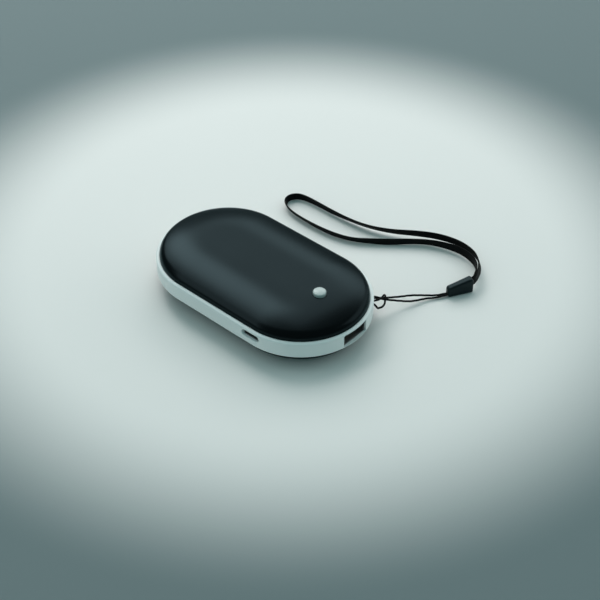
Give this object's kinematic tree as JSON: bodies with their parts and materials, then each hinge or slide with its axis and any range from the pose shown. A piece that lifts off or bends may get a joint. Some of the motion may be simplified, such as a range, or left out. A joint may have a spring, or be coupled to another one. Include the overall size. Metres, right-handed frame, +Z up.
{
  "type": "rechargeable hand warmer",
  "caption": "Flat rounded rechargeable hand warmer: black domed shells round a white band, push button, charging ports and a wrist strap on a string.",
  "frame": {"origin": "on the table under the middle of the body, strap left out", "axes": "+X along the body towards the large charging port, +Z up, small port on the -Y side"},
  "size_m": [0.1125, 0.1097, 0.022],
  "materials": {
    "shell_black": "satin black anodised",
    "band_white": "satin moulded white",
    "button_white": "smooth moulded white",
    "inner_plastic": "moulded dark grey",
    "board_green": "solder-masked board",
    "steel": "pressed steel",
    "contact_metal": "plated contacts",
    "port_plastic": "moulded dark insulator",
    "component_black": "moulded package",
    "component_tan": "ceramic",
    "lamp_clear": "clear package",
    "cell_foil": "pouch foil",
    "foam_grey": "foam sheet",
    "film_amber": "polyimide film",
    "lead_red": "insulated lead",
    "string_black": "thin braided string",
    "clasp_black": "moulded satin black",
    "webbing_black": "woven flat webbing"
  },
  "bodies": {
    "case": {"mid_frame": "band_white", "top_shell": "shell_black", "bottom_shell": "shell_black", "top_clip_ring": "inner_plastic", "bottom_clip_ring": "inner_plastic", "chassis": "inner_plastic", "chassis_screws": "steel", "main_pcb": "board_green", "pcb_screws": "steel", "usb_a_shell": "steel", "usb_a_insulator": "port_plastic", "usb_a_contacts": "contact_metal", "micro_usb_shell": "steel", "micro_usb_insulator": "port_plastic", "micro_usb_contacts": "contact_metal", "button_guide": "inner_plastic", "switch_base": "component_black", "switch_cover": "steel", "switch_dome": "steel", "controller_chip": "component_black", "inductor": "component_black", "capacitors": "component_tan", "power_transistors": "component_black", "status_leds": "lamp_clear", "upper_cell": "cell_foil", "lower_cell": "cell_foil", "cell_tapes": "foam_grey", "insulation_pads": "foam_grey", "cell_tabs": "steel", "protection_board": "board_green", "battery_leads": "lead_red", "top_heater_film": "film_amber", "bottom_heater_film": "film_amber", "thermistors": "component_black", "heater_leads": "lead_red"},
    "push_button": {"button": "button_white", "switch_plunger": "inner_plastic"},
    "strap": {"lanyard_string": "string_black", "strap_clasp": "clasp_black", "strap_crimp": "steel", "wrist_strap": "webbing_black"}
  },
  "joints": [
    {"name": "button_press", "type": "slide", "parent": "case", "child": "push_button", "axis": [0, 0, -1], "range_m": [0, 0.0003], "stiffness_N_per_m": 4000},
    {"name": "strap_swing", "type": "hinge", "parent": "case", "child": "strap", "pos_m": [0.0392, 0.02066, 0.0103], "axis": [0, 0, 1], "range_deg": [-20, 12]}
  ]
}
